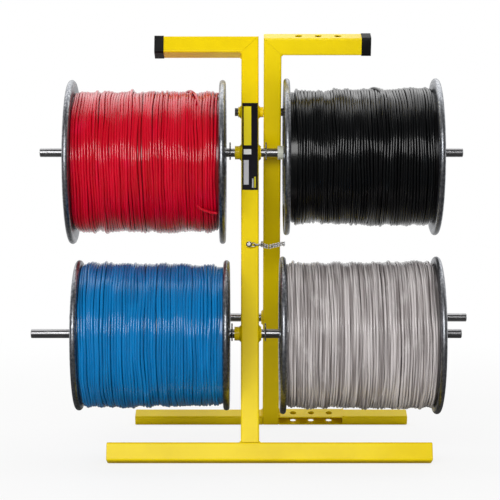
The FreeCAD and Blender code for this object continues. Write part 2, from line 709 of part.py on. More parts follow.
def make_sticker():
    """The thin sticker on the front face of the front upright."""
    plate = document.addObject("Part::Box", "Sticker")
    bind(plate, {"Length": "sticker_width", "Width": "sticker_thickness",
                 "Height": "sticker_top + sticker_bottom"})
    bind(plate, base_at("-sticker_width / 2", "-tube_width / 2 - sticker_thickness", "-sticker_bottom"))
    sticker = document.addObject("Part::Compound", "sticker")
    sticker.Links = [plate]
    stand_on_front_leg(sticker)
    return finish_part(sticker, "sticker")


# The limiting chain

def link_shape():
    """One chain link along X, lying in the XY plane, with its middle at the origin."""
    thickness = value("chain_wire / 2")
    bend = link_bend()
    half = link_bend_middle()
    solid = None
    for side in (-1, 1):
        end = Part.makeTorus(bend, thickness, Vector(side * half, 0, 0), Vector(0, 0, 1), 0, 360, 180)
        end.rotate(Vector(side * half, 0, 0), Vector(0, 0, 1), -90 * side)
        bar = Part.makeCylinder(thickness, 2 * half, Vector(-half, side * bend, 0), Vector(1, 0, 0))
        solid = end.fuse(bar) if solid is None else solid.fuse([end, bar])
    return solid.removeSplitter()


def placed_link(shape, middle, along, flat):
    """A copy of the link with its length along a direction, its flat side facing another."""
    link = shape.copy()
    turn = FreeCAD.Rotation(along, flat.cross(along), flat, "XZY")
    link.Placement = FreeCAD.Placement(middle, turn)
    return link


def leg_direction(x, y, z, side):
    """A direction in a leg's frame turned to the stand's frame: side is -1 for the front leg."""
    return FreeCAD.Rotation(Vector(side, 0, 0), value("lean_angle")).multVec(Vector(x, y, z))


def link_bend():
    """The bend radius of a link's middle line."""
    return value("(chain_inner_width + chain_wire) / 2")


def link_bend_middle():
    """From a link's middle to the centre of its bend."""
    return value(f"{CHAIN_LINK_LENGTH} / 2 + chain_wire / 2") - link_bend()


def front_link_middle(index):
    """The middle of one of the links at the front bolt. They run to the right, past the leg's edge."""
    shank = value("chain_bolt_diameter / 2 + chain_play / 2")
    x = value(f"{CHAIN_LINK_LENGTH} / 2 + {index} * chain_link_pitch - front_chain_bolt") - shank
    pivot = Vector(0, 0, value(PIVOT_HEIGHT))
    return pivot + leg_direction(x, -value(CHAIN_FACE), -value("chain_drop"), -1)


def rear_chain_hinge():
    """The middle of the rear bolt's neck, about which the last link turns."""
    pivot = Vector(value("leg_spacing"), 0, value(PIVOT_HEIGHT))
    return pivot + leg_direction(value(CHAIN_FACE), -value("rear_chain_bolt"), -value("chain_drop"), 1)


def chain_points():
    """The ends of the free chain, the point where its two shares meet, and the last link's direction."""
    front_hold = front_link_middle(1) + leg_direction(link_bend_middle(), 0, 0, -1)
    hinge = rear_chain_hinge()
    last_way = Vector(0, hinge.y - front_hold.y, hinge.z - front_hold.z).normalize()
    rear_hold = hinge - last_way * 2 * link_bend_middle()
    hook = link_bend() - value("(chain_wire + chain_play) / 2")
    along = (rear_hold - front_hold).normalize()
    front = front_hold + along * hook
    rear = rear_hold - along * hook
    middle = front + (rear - front) * value("chain_split") - Vector(0, 0, value("chain_sag"))
    return front, rear, middle, last_way


def chain_run(start, end, odd):
    """Links from one point to another. The first link stands upright, and then every other one."""
    shape = link_shape()
    count = math.ceil((end - start).Length / value("chain_link_pitch"))
    if count % 2 != odd:
        count += 1
    along = (end - start).normalize()
    level = along.cross(Vector(0, 0, 1)).normalize()
    step = (end - start) * (1 / count)
    links = []
    for index in range(count):
        flat = level.cross(along) if index % 2 else level
        links.append(placed_link(shape, start + step * (index + 0.5), along, flat))
    return links


def make_chain_feature(label, solids):
    chain = document.addObject("Part::Feature", label)
    chain.Shape = Part.makeCompound(solids)
    bind(chain, stand_base("0", "0", "0"))
    return finish_part(chain, label)


def make_chain():
    """The free chain in two shares, and the links that stay at the bolts."""
    front, rear, middle, last_way = chain_points()
    aside = Vector(value("chain_pass"), 0, 0)
    make_chain_feature("chain_front_share", chain_run(front, middle - aside, 1))
    make_chain_feature("chain_rear_share", chain_run(middle + aside, rear, 0))
    shape = link_shape()
    flats = (leg_direction(0, 1, 0, -1), leg_direction(0, 0, 1, -1))
    fixed = [placed_link(shape, front_link_middle(index), leg_direction(1, 0, 0, -1), flat)
             for index, flat in enumerate(flats)]
    make_chain_feature("chain_front_links", fixed)
    last_middle = rear_chain_hinge() - last_way * link_bend_middle()
    make_chain_feature("chain_rear_link", [placed_link(shape, last_middle, last_way, Vector(1, 0, 0))])


def draw_chain_bolt(body):
    """A chain bolt along Z: shank through the leg, collar on its face, neck for the link, and head."""
    end = "-(tube_width + seat_gap + chain_nut_height + bolt_end)"
    neck_end = "chain_standoff + chain_wire / 2 + chain_play"
    collar_end = "chain_standoff - chain_wire / 2 - chain_play"
    shank = "chain_bolt_diameter / 2"
    head = "chain_bolt_head / 2"
    sketch = new_sketch(body, "XZ_Plane")
    draw_polygon(sketch, "outline", [
        ("0", end), (shank, end), (shank, "0"), (f"{head} - 1", "0"),
        (f"{head} - 1", collar_end), (shank, collar_end), (shank, neck_end), (head, neck_end),
        (head, f"{neck_end} + 1.6"), (f"{head} - 2.2", f"{neck_end} + 3.2"), ("0", f"{neck_end} + 3.2")])
    revolve(body, sketch, "Z_Axis")


def draw_chain_nut(body):
    """The nut of a chain bolt, on the far side of the leg."""
    top = "-(tube_width + seat_gap)"
    sketch = new_sketch(body, "XY_Plane", z=f"{top} - chain_nut_height")
    draw_hexagon(sketch, "chain_nut_flats")
    draw_circle(sketch, "bore", "chain_bolt_diameter / 2 + bolt_running_gap")
    pad(body, sketch, "chain_nut_height")


def make_chain_bolts():
    """The bolts that hold the ends of the chain, one in each leg, and their nuts."""
    to_front = FreeCAD.Rotation(Vector(1, 0, 0), 90)
    to_right = FreeCAD.Rotation(Vector(0, 1, 0), 90)
    for end, stand, x, y, turn in (
            ("front", stand_on_front_leg, "-front_chain_bolt", f"-{HALF_TUBE}", to_front),
            ("rear", stand_on_rear_leg, HALF_TUBE, "-rear_chain_bolt", to_right)):
        for kind, draw in (("bolt", draw_chain_bolt), ("nut", draw_chain_nut)):
            label = f"chain_{end}_{kind}"
            body = new_body(f"{label}_turned")
            draw(body)
            body.Placement = FreeCAD.Placement(Vector(), turn)
            bind(body, base_at(x, y, "-chain_drop"))
            piece = document.addObject("Part::Compound", label)
            piece.Links = [body]
            stand(piece)
            finish_part(piece, label)


# Spools

def make_flange(label, side, colour):
    """A steel flange: a thin pressed disc with a rolled rim. side is 1 for the right one."""
    width = f"{colour}_spool_width"
    inner = f"{side} * ({width} / 2 - rim_width)"
    sheet_out = f"{side} * ({width} / 2 - rim_width + flange_sheet)"
    step_in = f"{side} * ({width} / 2 - rim_width + flange_step)"
    step_out = f"{side} * ({width} / 2 - rim_width + flange_step + flange_sheet)"
    hole = f"{colour}_arbor_bore / 2 + arbor_wall + weld_gap"
    step = "flange_step_diameter / 2"
    rim = f"{colour}_flange_diameter / 2 - rim_width / 2"
    edge = f"{rim} - rim_width / 8"
    body = turned_body(label, [
        (step_in, hole), (step_in, f"{step} - flange_step"), (inner, step), (inner, edge), (sheet_out, edge),
        (sheet_out, f"{step} + flange_sheet / 2"), (step_out, f"{step} - flange_step + flange_sheet / 2"),
        (step_out, hole)])
    roll = new_sketch(body, "XZ_Plane", x=f"{side} * ({width} / 2 - rim_width / 2)", y=rim)
    draw_circle(roll, "rolled_rim", "rim_width / 2")
    draw_circle(roll, "rolled_rim_hollow", "rim_width / 2 - flange_sheet")
    revolve(body, roll)
    return finish_part(body, label)


def helix_point(radius, pitch, turn):
    """A point of the outer layer's middle line, turn counted from its start."""
    angle = 2 * math.pi * turn
    return Vector(pitch * turn, -radius * math.sin(angle), radius * math.cos(angle))


def helix_direction(radius, pitch, turn):
    angle = 2 * math.pi * turn
    around = 2 * math.pi * radius
    return Vector(pitch, -around * math.cos(angle), -around * math.sin(angle)).normalize()


def arc_from(start, joint, knee):
    """An arc from a point to another, whose end tangents meet at the knee."""
    chord_middle = (start + joint) * 0.5
    half_chord = (joint - start).Length / 2
    rise = (knee - chord_middle).Length
    half_turn = math.atan2(rise, half_chord)
    top = chord_middle + (knee - chord_middle).normalize() * (half_chord * math.tan(half_turn / 2))
    return Part.Arc(start, top, joint).toShape()


def biarc(start, start_way, end, end_way):
    """Two arcs that join two points along given directions."""
    span = end - start
    ways = start_way + end_way
    spread = 1 - start_way.dot(end_way)
    along = span.dot(ways)
    reach = (-along + math.sqrt(along * along + 2 * spread * span.dot(span))) / (2 * spread)
    first_knee = start + start_way * reach
    second_knee = end - end_way * reach
    joint = (first_knee + second_knee) * 0.5
    return [arc_from(start, joint, first_knee), arc_from(joint, end, second_knee)]


def turned_end(point, way, bend, straight, outward):
    """A quarter bend from the layer to the flange's direction, then a straight run to the flange."""
    axis = Vector(outward, 0, 0)
    knee = point + way * bend * outward
    corner = knee + axis * bend
    edges = [arc_from(point, corner, knee), Part.LineSegment(corner, corner + axis * straight).toShape()]
    return edges


def winding_path(radius, width):
    """The middle line of the outer layer between two flanges, one unbroken line."""
    wire = value("wire_diameter")
    bend = value("wire_end_bend")
    turns = int(value("winding_turns"))
    gap = value("seat_gap")
    lead = bend + wire + gap
    pitch = (width - 2 * lead) / turns
    shift = Vector(lead - width / 2, 0, 0)
    edges = []
    first = helix_point(radius, pitch, 0) + shift
    first_way = helix_direction(radius, pitch, 0)
    last = helix_point(radius, pitch, turns) + shift
    last_way = helix_direction(radius, pitch, turns)
    start_edges = turned_end(first, first_way, bend, wire, -1)
    edges += list(reversed(start_edges))
    for half in range(2 * turns):
        start = helix_point(radius, pitch, half / 2) + shift
        end = helix_point(radius, pitch, (half + 1) / 2) + shift
        edges += biarc(start, helix_direction(radius, pitch, half / 2), end,
                       helix_direction(radius, pitch, (half + 1) / 2))
    edges += turned_end(last, last_way, bend, wire, 1)
    return Part.Wire(Part.__sortEdges__(edges)), pitch


def least_gap(radius, pitch, turns):
    """The least clear distance between neighbouring turns, measured on points of the line."""
    wire = value("wire_diameter")
    steps = 36
    points = [helix_point(radius, pitch, step / steps) for step in range(steps * turns + 1)]
    distances = []
    for index in range(0, len(points) - steps, 5):
        near = points[index + steps - 4:index + steps + 5]
        distances += [(points[index] - other).Length for other in near]
    return min(distances) - wire


def make_turns(colour):
    """The outer layer of wire on a spool, one tube."""
    label = f"{colour}_wire_turns"
    radius = value(f"{colour}_winding_diameter / 2 - wire_diameter / 2")
    inside = value(f"{colour}_spool_width - 2 * rim_width")
    path, pitch = winding_path(radius, inside)
    start = path.OrderedVertexes[0].Point
    section = Part.Wire(Part.makeCircle(value("wire_diameter / 2"), start, Vector(1, 0, 0)))
    turns = document.addObject("Part::Feature", label)
    turns.Shape = sweep(path, section)
    gap = least_gap(radius, pitch, int(value("winding_turns")))
    print(f"{label}: least gap between turns {gap:.2f} mm, bend {value('wire_end_bend'):.1f} mm")
    return finish_part(turns, label)


def spool_sag(colour):
    """How far a spool's axis hangs below its rod's, so that its bore rests on the rod."""
    return f"({colour}_arbor_bore / 2 - rod_diameter / 2 - seat_gap)"


def make_spool(colour, drop, side):
    """A spool with its steel flanges, drum, arbor tube, packed wire and outer layer."""
    half = f"({colour}_spool_width / 2)"
    bore = f"{colour}_arbor_bore / 2"
    inside = f"({half} - rim_width - seat_gap)"
    arbor = turned_body(f"{colour}_arbor", ring_outline(f"-{half}", half, bore, f"{bore} + arbor_wall"))
    drum = turned_body(f"{colour}_drum", ring_outline(f"-{inside}", inside, "drum_diameter / 2 - drum_wall",
                                                      "drum_diameter / 2"))
    pack = turned_body(f"{colour}_wire_pack", ring_outline(
        f"-{inside}", inside, "drum_diameter / 2 + seat_gap",
        f"{colour}_winding_diameter / 2 - wire_diameter - seat_gap"))
    pieces = [make_flange(f"{colour}_flange_left", -1, colour),
              make_flange(f"{colour}_flange_right", 1, colour),
              finish_part(arbor, f"{colour}_arbor"), finish_part(drum, f"{colour}_drum"),
              finish_part(pack, f"{colour}_wire_pack"), make_turns(colour)]
    y, z = front_leg_point(drop)
    x = f"{side} * ({colour}_spool_near + {half})"
    for piece in pieces:
        bind(piece, stand_base(x, y, f"{z} - {spool_sag(colour)}"))
    return pieces


# Putting it together

def build():
    for piece in make_front_leg():
        stand_on_front_leg(piece)
    for piece in make_rear_leg():
        stand_on_rear_leg(piece)
    make_pivot_bolt()
    make_pivot_nut()
    make_rod("upper_rod", "upper_rod_left", "upper_rod_right", front_leg_point("upper_rod_drop"),
             ("-upper_clip_left", "upper_clip_right"))
    make_rod("lower_rod", "lower_rod_left", "lower_rod_right", front_leg_point("lower_rod_drop"),
             ("-lower_clip_left", "lower_clip_right"))
    make_rod("spare_rod", "spare_rod_left", "spare_rod_right", rear_leg_point("lower_rod_drop"))
    make_clips("upper_rod_clips", "upper_rod_drop", "upper_clip_left", "upper_clip_right")
    make_clips("lower_rod_clips", "lower_rod_drop", "lower_clip_left", "lower_clip_right")
    make_bushing()
    make_sticker()
    make_chain()
    make_chain_bolts()
    make_spool("red", "upper_rod_drop", -1)
    make_spool("black", "upper_rod_drop", 1)
    make_spool("blue", "lower_rod_drop", -1)
    make_spool("grey", "lower_rod_drop", 1)
    document.recompute()


def check():
    """Stops if an object failed or a sub-part has no valid shape."""
    for item in document.Objects:
        if {"Invalid", "Error"} & set(item.State):
            raise ValueError(f"{item.Label}: {item.State} {item.getStatusString()}")
    for part in parts:
        if part.Shape.isNull() or not part.Shape.isValid() or not part.Shape.Solids:
            raise ValueError(f"{part.Label}: no valid shape")


def write():
    os.makedirs("parts", exist_ok=True)
    for part in parts:
        part.Shape.exportStep(os.path.join("parts", f"{part.Label}.step"))


build()
check()
write()
whole = Part.makeCompound([part.Shape for part in parts]).BoundBox
print(f"{len(parts)} sub-parts, box {whole.XMin:.1f} {whole.YMin:.1f} {whole.ZMin:.1f} "
      f"to {whole.XMax:.1f} {whole.YMax:.1f} {whole.ZMax:.1f}")
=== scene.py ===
import json
import math

import bpy
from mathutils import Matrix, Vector


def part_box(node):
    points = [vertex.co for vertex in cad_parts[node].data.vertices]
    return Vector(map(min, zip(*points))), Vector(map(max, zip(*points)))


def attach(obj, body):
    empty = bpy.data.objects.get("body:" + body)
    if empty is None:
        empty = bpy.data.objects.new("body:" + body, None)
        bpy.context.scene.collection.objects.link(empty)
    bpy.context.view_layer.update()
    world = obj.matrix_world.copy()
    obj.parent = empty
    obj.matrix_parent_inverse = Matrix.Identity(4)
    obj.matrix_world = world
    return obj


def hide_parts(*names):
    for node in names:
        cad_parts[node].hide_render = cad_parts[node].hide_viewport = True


# Looks of a folding stand that carries four spools of insulated building wire.
# Everything is in metres, in the stand's own frame: +X to the right, +Y to the back, +Z up.

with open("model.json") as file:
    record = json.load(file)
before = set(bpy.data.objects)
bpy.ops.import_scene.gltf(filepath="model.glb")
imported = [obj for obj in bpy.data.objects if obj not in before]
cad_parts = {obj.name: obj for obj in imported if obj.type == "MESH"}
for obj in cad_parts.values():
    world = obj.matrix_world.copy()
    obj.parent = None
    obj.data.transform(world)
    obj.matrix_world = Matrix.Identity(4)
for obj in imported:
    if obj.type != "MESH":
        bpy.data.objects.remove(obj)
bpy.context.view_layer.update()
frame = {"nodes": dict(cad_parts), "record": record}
nodes = frame["nodes"]

MM = 0.001
LEAN = math.radians(20)
FRONT_PIVOT = Vector((-0.01525, 0.023126, 0.609126))
REAR_PIVOT = Vector((0.02545, 0.023126, 0.609126))
WIRE = 5.5 * MM
WHITE = (1, 1, 1, 1)

# Axis (Y, Z), outer radius of the wound wire and of the flange, the turns that show, and how much
# the winding grows from left to right.
SPOOLS = {
    "red": {"axis": (-0.003723, 0.5182), "wound": 127.5 * MM, "flange": 148.5 * MM,
            "turns": 53, "taper": 0.5 * MM, "seed": 3.0},
    "black": {"axis": (-0.003723, 0.5276), "wound": 123.0 * MM, "flange": 142.0 * MM,
              "turns": 52, "taper": 6.0 * MM, "seed": 11.0},
    "blue": {"axis": (-0.119155, 0.215454), "wound": 126.0 * MM, "flange": 132.0 * MM,
             "turns": 51, "taper": -5.0 * MM, "seed": 23.0},
    "grey": {"axis": (-0.119155, 0.215454), "wound": 129.0 * MM, "flange": 138.5 * MM,
             "turns": 53, "taper": 2.0 * MM, "seed": 37.0},
}

# Main, deep and pale tone of the wire, how much its strands differ, and its gloss.
WIRES = {
    "red": (((212, 0, 40), (174, 0, 16), (228, 6, 74)), 0.2, 0.75),
    "black": (((8, 10, 11), (2, 2, 3), (22, 28, 31)), 0.2, 0.6),
    "blue": (((0, 122, 188), (0, 100, 158), (2, 142, 206)), 0.2, 0.75),
    "grey": (((204, 198, 197), (128, 121, 120), (226, 222, 221)), 0.13, 0.7),
}

# Strands that cross the turns, and the loose end of the red wire. Each place on a strand is its X,
# its angle up from the front of the spool and its lift over the layer, in mm and degrees.
STRANDS = (
    ("red_crossing", "red", (
        (-143, 118, -1), (-136, 104, 2), (-127, 90, 5), (-117, 76, 5), (-108, 62, 5), (-103, 46, 3),
        (-101, 30, -1))),
    ("red_end", "red", (
        (-112, -34, -2), (-106, -38, 3), (-96, -40, 6), (-84, -41.5, 7), (-73.5, -42.5, 7))),
    ("black_crossing", "black", (
        (190, 122, -1), (197, 108, 2), (204, 94, 5), (213, 80, 5), (222, 66, 5), (229, 50, 3),
        (232, 30, -1))),
    ("blue_crossing", "blue", (
        (-86, 60, -1), (-84, 40, 3), (-82, 20, 4), (-86, -5, 4), (-92, -35, 4), (-95, -60, 3),
        (-96, -85, -1))),
    ("grey_crossing", "grey", (
        (180, 112, -1), (184, 92, 3), (190, 68, 4), (196, 40, 4), (204, 8, 4), (210, -22, 3),
        (213, -48, -1))),
)

# Weld beads: the leg, the face of the tube, half the bead's length, and its height from the pivot
# along the leg, in mm.
WELDS = (
    ("foot_weld_left", "front_leg", -15.9, 12.5, -611.6),
    ("foot_weld_right", "front_leg", 15.9, 12.5, -611.6),
    ("left_arm_weld", "front_leg", -15.9, 12.5, 112.2),
    ("right_arm_weld", "rear_leg", 15.9, 12.5, 112.2),
    ("rear_foot_weld_left", "rear_leg", -15.9, 14, -624.3),
    ("rear_foot_weld_right", "rear_leg", 15.9, 14, -624.3),
)
FIRST_WELD_SEED = 4


# Node trees

class Value:
    """A socket of a node tree that takes part in sums."""

    def __init__(self, board, socket):
        self.board = board
        self.socket = socket

    def math(self, operation, *others):
        values = dict(enumerate((self, *others)))
        return self.board.add("ShaderNodeMath", {"operation": operation}, values)

    def output(self, name):
        """Another output of the same node."""
        return Value(self.board, self.socket.node.outputs[name])

    def __add__(self, other):
        return self.math("ADD", other)

    __radd__ = __add__

    def __mul__(self, other):
        return self.math("MULTIPLY", other)

    __rmul__ = __mul__

    def __sub__(self, other):
        return self.math("SUBTRACT", other)

    def __rsub__(self, other):
        return self.board.add("ShaderNodeMath", {"operation": "SUBTRACT"}, {0: other, 1: self})

    def __truediv__(self, other):
        return self.math("DIVIDE", other)

    def clip(self):
        """The value held between 0 and 1."""
        return self.board.add("ShaderNodeClamp", None, {0: self})

    def fade(self, start, end):
        """0 at start and 1 at end, smooth between them."""
        settings = {"interpolation_type": "SMOOTHSTEP"}
        return self.board.add("ShaderNodeMapRange", settings,
                              {"Value": self, "From Min": start, "From Max": end})

    def inside(self, low, high, soft):
        """1 between two values and 0 outside them."""
        return self.fade(low - soft, low + soft) * self.fade(high + soft, high - soft)


class Board:
    """A node tree, and the one way to add a node to it."""

    def __init__(self, tree):
        self.tree = tree

    def add(self, kind, settings=None, values=None, out=0):
        node = self.tree.nodes.new(kind)
        for name, setting in (settings or {}).items():
            setattr(node, name, setting)
        for name, value in (values or {}).items():
            if isinstance(value, Value):
                self.tree.links.new(value.socket, node.inputs[name])
            else:
                node.inputs[name].default_value = value
        return Value(self, node.outputs[out]) if node.outputs else node

    def noise(self, coords, scale, detail=3.0, roughness=0.55):
        """A cloudy pattern about 0.5."""
        values = {"Vector": coords, "Scale": scale, "Detail": detail, "Roughness": roughness}
        return self.add("ShaderNodeTexNoise", None, values)

    def stretched(self, coords, scale, centre=(0, 0, 0)):
        """Coordinates scaled by axis, about a centre."""
        moved = self.add("ShaderNodeVectorMath", {"operation": "SUBTRACT"}, {0: coords, 1: centre})
        return self.add("ShaderNodeVectorMath", {"operation": "MULTIPLY"}, {0: moved, 1: scale})

    def reach(self, coords, centre):
        """Distance from a spool's axis."""
        return self.length(self.stretched(coords, (0.0, 1.0, 1.0), (0.0, *centre)))

    def length(self, coords):
        return self.add("ShaderNodeVectorMath", {"operation": "LENGTH"}, {0: coords}, out="Value")

    def split(self, coords):
        """X, Y and Z of some coordinates."""
        parts = self.add("ShaderNodeSeparateXYZ", None, {0: coords})
        return parts, parts.output("Y"), parts.output("Z")

    def only(self, axis, coords):
        """One of X, Y and Z of some coordinates."""
        return self.add("ShaderNodeSeparateXYZ", None, {0: coords}, out=axis)

    def tint(self, share, first, second):
        """A mix of two colours."""
        settings = {"data_type": "RGBA", "blend_type": "MIX", "clamp_factor": True}
        return self.add("ShaderNodeMix", settings, {0: share, 6: first, 7: second}, out=2)


def colour(red, green, blue):
    """A colour as it reads on a screen, from 0 to 255, as the shader takes it."""
    linear = [c / 255 / 12.92 if c <= 10 else ((c / 255 + 0.055) / 1.055) ** 2.4 for c in (red, green, blue)]
    return (*linear, 1.0)


class Finish:
    """A material: its board, its object coordinates and its shader."""

    def __init__(self, name, **constants):
        self.material = bpy.data.materials.new(name)
        self.material.use_nodes = True
        tree = self.material.node_tree
        tree.nodes.clear()
        self.board = Board(tree)
        self.coords = self.board.add("ShaderNodeTexCoord", out="Object")
        self.shader = tree.nodes.new("ShaderNodeBsdfPrincipled")
        output = tree.nodes.new("ShaderNodeOutputMaterial")
        tree.links.new(self.shader.outputs[0], output.inputs["Surface"])
        for socket, value in constants.items():
            self.shader.inputs[socket.replace("_", " ")].default_value = value

    def drive(self, **values):
        """Links values to the shader's sockets of these names."""
        for socket, value in values.items():
            self.board.tree.links.new(value.socket, self.shader.inputs[socket.replace("_", " ")])

    def bump(self, height, strength, distance):
        """Small relief over the surface."""
        normal = self.board.add("ShaderNodeBump", None,
                                {"Height": height, "Strength": strength, "Distance": distance})
        self.drive(Normal=normal)


# Finishes

def powder_coat():
    """Yellow powder coat: orange peel, a little unevenness in thickness and dull rubbed patches."""
    finish = Finish("yellow_powder_coat", Coat_Weight=0.04, Coat_Roughness=0.1, Specular_IOR_Level=0.14)
    board, coords = finish.board, finish.coords
    thick = board.noise(coords, 9.0, 4.0)
    speckle = board.noise(coords, 420.0, 2.0)
    base = board.tint(thick.fade(0.3, 0.72), colour(247, 218, 0), colour(236, 206, 0))
    base = board.tint(speckle.fade(0.58, 0.8) * 0.35, base, colour(250, 226, 14))
    rubbed = board.noise(board.stretched(coords, (3.0, 3.0, 1.2)), 8.0, 6.0, 0.7).fade(0.57, 0.76)
    base = board.tint(rubbed * 0.22, base, colour(216, 187, 6))
    finish.drive(Base_Color=base, Roughness=0.27 + thick * 0.1 + rubbed * 0.14)
    finish.bump(board.noise(coords, 650.0, 1.5), 0.35, 0.00012)
    return finish.material


def zinc(name="zinc_steel", light=(176, 176, 178), dark=(112, 111, 112)):
    """Zinc-plated bar and hardware, drawn along the bar, with dull spots."""
    finish = Finish(name, Metallic=1.0)
    board, coords = finish.board, finish.coords
    streaks = board.noise(board.stretched(coords, (14.0, 900.0, 900.0)), 1.0, 3.0, 0.6)
    spots = board.noise(coords, 120.0, 4.0, 0.65)
    base = board.tint(streaks.fade(0.3, 0.7), colour(*dark), colour(*light))
    base = board.tint(spots.fade(0.56, 0.72) * 0.45, base, colour(200, 199, 196))
    finish.drive(Base_Color=base, Roughness=0.24 + streaks * 0.16 + spots.fade(0.5, 0.8) * 0.18)
    finish.bump(streaks, 0.15, 0.00004)
    return finish.material


def spool_steel(name, spool):
    """Rolled sheet steel of a spool's flanges: dark, with rings from the press and a whitish rim that is
    partly scuffs and partly a painted highlight.
    """
    finish = Finish(f"{name}_spool_steel", Metallic=1.0)
    board, coords = finish.board, finish.coords
    radius = board.reach(coords, spool["axis"])
    rings = board.add("ShaderNodeTexNoise", {"noise_dimensions": "1D"},
                      {"W": radius, "Scale": 700.0, "Detail": 3.0})
    cloud = board.noise(coords, 9.0, 3.0, 0.5)
    scuffs_and_sheen = board.noise(board.stretched(coords, (300.0, 190.0, 190.0)), 1.0, 5.0, 0.65)
    rim_inside = spool["flange"] - 12 * MM
    rim = radius.fade(rim_inside, rim_inside + 3 * MM)
    base = board.tint(cloud.fade(0.3, 0.7), colour(104, 107, 113), colour(140, 143, 148))
    base = board.tint(rings.fade(0.42, 0.66) * 0.35, base, colour(84, 87, 93))
    # Partly painted highlight: the rim is tinted whitish where the noise is high, standing for real scuffs
    # and for the light the rolled rim catches.
    base = board.tint(scuffs_and_sheen.fade(0.36, 0.74) * rim * 0.7, base, colour(206, 207, 210))
    rust = scuffs_and_sheen.fade(0.7, 0.82) * cloud.fade(0.5, 0.6)
    base = board.tint(rust * 0.4, base, colour(96, 78, 64))
    finish.drive(Base_Color=base, Roughness=0.3 + cloud * 0.12 + rings * 0.08)
    finish.bump(rings, 0.25, 0.00015)
    return finish.material


def rubber():
    """Black moulded rubber of the arm caps, with a bloom on the surface."""
    finish = Finish("black_rubber", Specular_IOR_Level=0.22)
    board, coords = finish.board, finish.coords
    bloom = board.noise(coords, 40.0, 4.0)
    grain = board.noise(coords, 900.0, 2.0)
    base = board.tint(bloom.fade(0.4, 0.75), colour(10, 11, 11), colour(25, 27, 27))
    finish.drive(Base_Color=base, Roughness=0.5 + bloom * 0.2)
    finish.bump(grain, 0.3, 0.0001)
    return finish.material


def bushing_plastic():
    """Pale grey moulded plastic of the spacer bushing."""
    finish = Finish("bushing_plastic", Specular_IOR_Level=0.4)
    board, coords = finish.board, finish.coords
    cloud = board.noise(coords, 60.0, 3.0)
    base = board.tint(cloud.fade(0.35, 0.7), colour(226, 228, 214), colour(206, 208, 194))
    finish.drive(Base_Color=base, Roughness=0.38 + cloud * 0.14)
    finish.bump(board.noise(coords, 500.0, 2.0), 0.2, 0.00008)
    return finish.material


def jacket(name, spool, tones, contrast, gloss):
    """A glossy wire jacket. Tone and gloss change from strand to strand, and less along a strand. Wire that
    lies below the crest of the layer gets painted shade.
    """
    main, deep, pale = (colour(*tone) for tone in tones)
    finish = Finish(f"{name}_jacket", Coat_Weight=gloss, Coat_Roughness=0.17, Specular_IOR_Level=0.12)
    board, coords = finish.board, finish.coords
    strands = board.noise(board.stretched(coords, (420.0, 7.0, 7.0)), 1.0, 2.0, 0.5)
    patches = board.noise(board.stretched(coords, (30.0, 16.0, 16.0)), 1.0, 4.0, 0.6)
    low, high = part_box(f"{name}_wire_pack")
    from_middle = board.only("X", coords) - (low.x + high.x) / 2
    crest = from_middle * (spool["taper"] / (high.x - low.x)) + spool["wound"]
    # Painted shade: wire deeper than the crest of the layer (the gaps between turns and the low groups) is
    # darkened towards a third of the deep tone.
    painted_gap_shade = (crest - board.reach(coords, spool["axis"])).fade(2.8 * MM, 6.2 * MM)
    base = board.tint(strands.fade(0.5 - contrast, 0.5 + contrast), main, deep)
    base = board.tint(patches.fade(0.55, 0.8) * 0.5, base, pale)
    painted_shade_tone = (*(part * 0.3 for part in deep[:3]), 1.0)
    base = board.tint(painted_gap_shade * 0.8, base, painted_shade_tone)
    finish.drive(Base_Color=base, Roughness=0.24 + strands * 0.12 + patches.fade(0.5, 0.8) * 0.12)
    finish.bump(board.noise(board.stretched(coords, (300.0, 90.0, 90.0)), 1.0, 3.0), 0.25, 0.0003)
    return finish.material


def label_film():
    """Dark glossy label with plain coloured fields and no lettering."""
    finish = Finish("sticker_film", Specular_IOR_Level=0.15)
    board, coords = finish.board, finish.coords
    left, top, width, length = FRONT_PIVOT.x - 14.2 * MM, 11.7 * MM, 28.4 * MM, 166.7 * MM
    x, y, z = board.split(coords)
    across = (x - left) / width
    up = (y - FRONT_PIVOT.y) * math.sin(LEAN) + (z - FRONT_PIVOT.z) * math.cos(LEAN)
    down = (top - up) / length
    cloud = board.noise(coords, 90.0, 3.0)
    base = board.tint(cloud.fade(0.35, 0.7), colour(20, 14, 28), colour(13, 10, 16))

    def field(tone, low, high, start, end):
        mask = across.inside(low, high, 0.012) * down.inside(start, end, 0.002)
        return board.tint(mask, base, tone)

    for tone, *place in (
            (colour(242, 222, 30), 0.10, 0.58, 0.04, 0.49),
            (colour(236, 236, 236), 0.10, 0.58, 0.535, 0.595),
            (colour(206, 206, 210), 0.10, 0.42, 0.66, 0.94),
            (colour(196, 196, 198), 0.63, 0.72, 0.87, 0.975),
            (colour(196, 184, 30), 0.76, 0.87, 0.85, 0.975)):
        base = field(tone, *place)
    worn = board.noise(coords, 300.0, 4.0, 0.7).fade(0.66, 0.74)
    base = board.tint(worn * 0.4, base, colour(90, 86, 82))
    finish.drive(Base_Color=base, Roughness=0.28 + cloud * 0.12)
    finish.bump(cloud, 0.15, 0.0001)
    return finish.material


# Shapes that follow a rule

def new_tree(name, sizes):
    """A geometry tree with named inputs: name, kind and first value."""
    tree = bpy.data.node_groups.new(name, "GeometryNodeTree")
    for label, kind, value in sizes:
        socket = tree.interface.new_socket(name=label, in_out="INPUT", socket_type=f"NodeSocket{kind}")
        if value is not None:
            socket.default_value = value
    tree.interface.new_socket(name="Geometry", in_out="OUTPUT", socket_type="NodeSocketGeometry")
    board = Board(tree)
    entry = tree.nodes.new("NodeGroupInput")
    inputs = {label: Value(board, entry.outputs[label]) for label, kind, value in sizes}
    return tree, board, inputs


def close_tree(board, geometry, finish):
    """Ends a tree in plain geometry with its finish."""
    smooth = board.add("GeometryNodeSetShadeSmooth", None, {0: geometry})
    real = board.add("GeometryNodeRealizeInstances", None, {0: smooth})
    dressed = board.add("GeometryNodeSetMaterial", None, {"Geometry": real, "Material": finish})
    exit_node = board.tree.nodes.new("NodeGroupOutput")
    board.tree.links.new(dressed.socket, exit_node.inputs["Geometry"])


